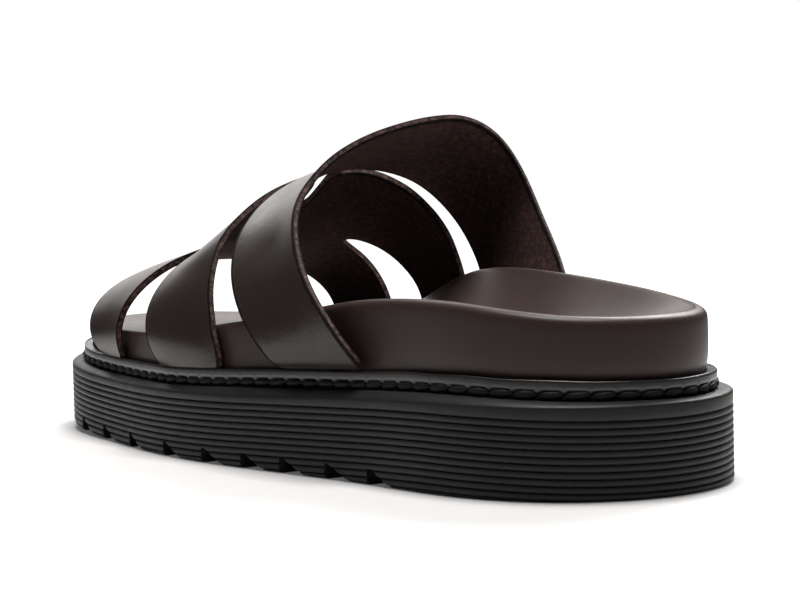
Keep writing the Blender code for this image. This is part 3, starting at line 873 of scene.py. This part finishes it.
# ---- stage ---------------------------------------------------------------------------------------
CAMERA_PLACE = Vector((-0.3818, -0.5916, 0.0882))
CAMERA_AIM = Vector((0.5589, 0.8341, -0.0626))
CAMERA_ROLL = math.radians(-1.42)
FLOOR_SIZE = 20
FLOOR_FADE = (0.2, 0.5)  # metres from the middle over which the floor's paleness falls
FAR_FLOOR = 0.2  # its paleness from there on, where its own glow makes it white
GLOW_FADE = (0.17, 0.45)  # metres over which the glow rises to full
LIGHT_TARGET = Vector((0, 0, 0.05))  # every light looks at the middle of the sandal
LIGHT_COLOUR = (1.0, 0.975, 0.955)
LIGHTS = (  # name, place, width and height
    ("top", (0.03, 0, 1.05), (0.5, 0.5)),
    ("side", (0.69, 0.32, 0.69), (0.5, 0.5)),
    ("back", (0.28, 0.80, 0.60), (0.5, 0.5)),
    ("low", (0.34, 0.93, 0.19), (0.7, 0.3)),
)
WHITE = (1, 1, 1, 1)


def area_light(name, place, size, power):
    light = bpy.data.lights.new(name, "AREA")
    light.shape = "RECTANGLE"
    light.size, light.size_y = size
    light.energy = power
    light.color = LIGHT_COLOUR
    holder = bpy.data.objects.new(name, light)
    holder.location = place
    holder.rotation_euler = (LIGHT_TARGET - Vector(place)).to_track_quat("-Z", "Y").to_euler()
    bpy.context.scene.collection.objects.link(holder)


def paper_finish(settings):
    """White paper that glows, as the camera sees it, more and more with the distance."""
    paper = Finish("floor_paper", 0.8, specular=0.1)
    paper.shader.inputs["Emission Color"].default_value = WHITE
    seen = paper.tree.nodes.new("ShaderNodeLightPath").outputs["Is Camera Ray"]
    away = paper.tree.nodes.new("ShaderNodeVectorMath")
    away.operation = "LENGTH"
    paper.tree.links.new(paper.place, away.inputs[0])
    far = away.outputs["Value"]
    paper.set("Base Color", paper.ramp(far, settings.floor, FAR_FLOOR, *FLOOR_FADE))
    glow = paper.ramp(far, settings.floor_glow, 1.0, *GLOW_FADE)
    seen_glow = paper.node("ShaderNodeMath")
    seen_glow.operation = "MULTIPLY"
    paper.tree.links.new(glow, seen_glow.inputs[0])
    paper.tree.links.new(seen, seen_glow.inputs[1])
    paper.set("Emission Strength", seen_glow.outputs["Value"])
    return paper.material


def studio_world(settings):
    """A dim even room that the camera sees as white."""
    world = bpy.data.worlds.new("studio")
    world.use_nodes = True
    tree = world.node_tree
    sky = tree.nodes["Background"]
    sky.inputs["Strength"].default_value = settings.room
    sky.inputs["Color"].default_value = WHITE
    backdrop = tree.nodes.new("ShaderNodeBackground")
    backdrop.inputs["Color"].default_value = WHITE
    seen = tree.nodes.new("ShaderNodeLightPath").outputs["Is Camera Ray"]
    mix = tree.nodes.new("ShaderNodeMixShader")
    tree.links.new(seen, mix.inputs["Fac"])
    tree.links.new(sky.outputs["Background"], mix.inputs[1])
    tree.links.new(backdrop.outputs["Background"], mix.inputs[2])
    tree.links.new(mix.outputs["Shader"], tree.nodes["World Output"].inputs["Surface"])
    return world


class SANDAL_OT_stage(bpy.types.Operator):
    """Sets the floor, the studio light and the camera"""

    bl_idname = "sandal.stage"
    bl_label = "Stage"
    bl_options = {"REGISTER", "UNDO"}

    def execute(self, context):
        settings = context.scene.sandal_stage
        scene = context.scene
        shape = bmesh.new()
        bmesh.ops.create_grid(shape, x_segments=1, y_segments=1, size=FLOOR_SIZE)
        mesh = bpy.data.meshes.new("floor")
        shape.to_mesh(mesh)
        shape.free()
        floor = bpy.data.objects.new("floor", mesh)
        scene.collection.objects.link(floor)
        mesh.materials.append(paper_finish(settings))
        scene.world = studio_world(settings)
        for name, place, size in LIGHTS:
            area_light(f"{name}_light", place, size, getattr(settings, f"{name}_power"))

        camera = bpy.data.cameras.new("camera")
        camera.sensor_width = 36
        camera.lens = settings.lens
        camera.clip_start = 0.01
        camera.clip_end = 100
        holder = bpy.data.objects.new("camera", camera)
        roll = Matrix.Rotation(CAMERA_ROLL, 3, "Z")
        turn = CAMERA_AIM.to_track_quat("-Z", "Y").to_matrix() @ roll
        holder.rotation_euler = turn.to_euler()
        holder.location = CAMERA_PLACE
        scene.collection.objects.link(holder)
        scene.camera = holder
        scene.view_settings.view_transform = "Standard"
        return {"FINISHED"}


class SANDAL_PT_panel(bpy.types.Panel):
    """The sandal's pieces and their settings"""

    bl_idname = "SANDAL_PT_panel"
    bl_label = "Slide sandal"
    bl_space_type = "VIEW_3D"
    bl_region_type = "UI"
    bl_category = "Sandal"

    def draw(self, context):
        column = self.layout.column(align=True)
        for operator in OPERATORS:
            column.operator(operator.bl_idname)
        for scene_name, kind in GROUPS.items():
            for name in kind.__annotations__:
                column.prop(getattr(context.scene, scene_name), name)


OPERATORS = (
    SANDAL_OT_outsole,
    SANDAL_OT_welt,
    SANDAL_OT_stitches,
    SANDAL_OT_footbed,
    SANDAL_OT_instep_strap,
    SANDAL_OT_vamp,
    SANDAL_OT_stage,
)
GROUPS = {
    "sandal_sole": SoleSettings,
    "sandal_footbed": FootbedSettings,
    "sandal_leather": LeatherSettings,
    "sandal_stage": StageSettings,
}


def register():
    for name, group in GROUPS.items():
        bpy.utils.register_class(group)
        setattr(bpy.types.Scene, name, PointerProperty(type=group))
    for operator in OPERATORS:
        bpy.utils.register_class(operator)
    bpy.utils.register_class(SANDAL_PT_panel)


def unregister():
    bpy.utils.unregister_class(SANDAL_PT_panel)
    for operator in reversed(OPERATORS):
        bpy.utils.unregister_class(operator)
    for name, group in GROUPS.items():
        delattr(bpy.types.Scene, name)
        bpy.utils.unregister_class(group)


def main():
    register()
    bpy.ops.sandal.stage()
    bpy.ops.sandal.outsole()
    bpy.ops.sandal.welt()
    bpy.ops.sandal.stitches()
    bpy.ops.sandal.footbed()
    bpy.ops.sandal.instep_strap()
    bpy.ops.sandal.vamp()


if __name__ == "__main__":
    main()
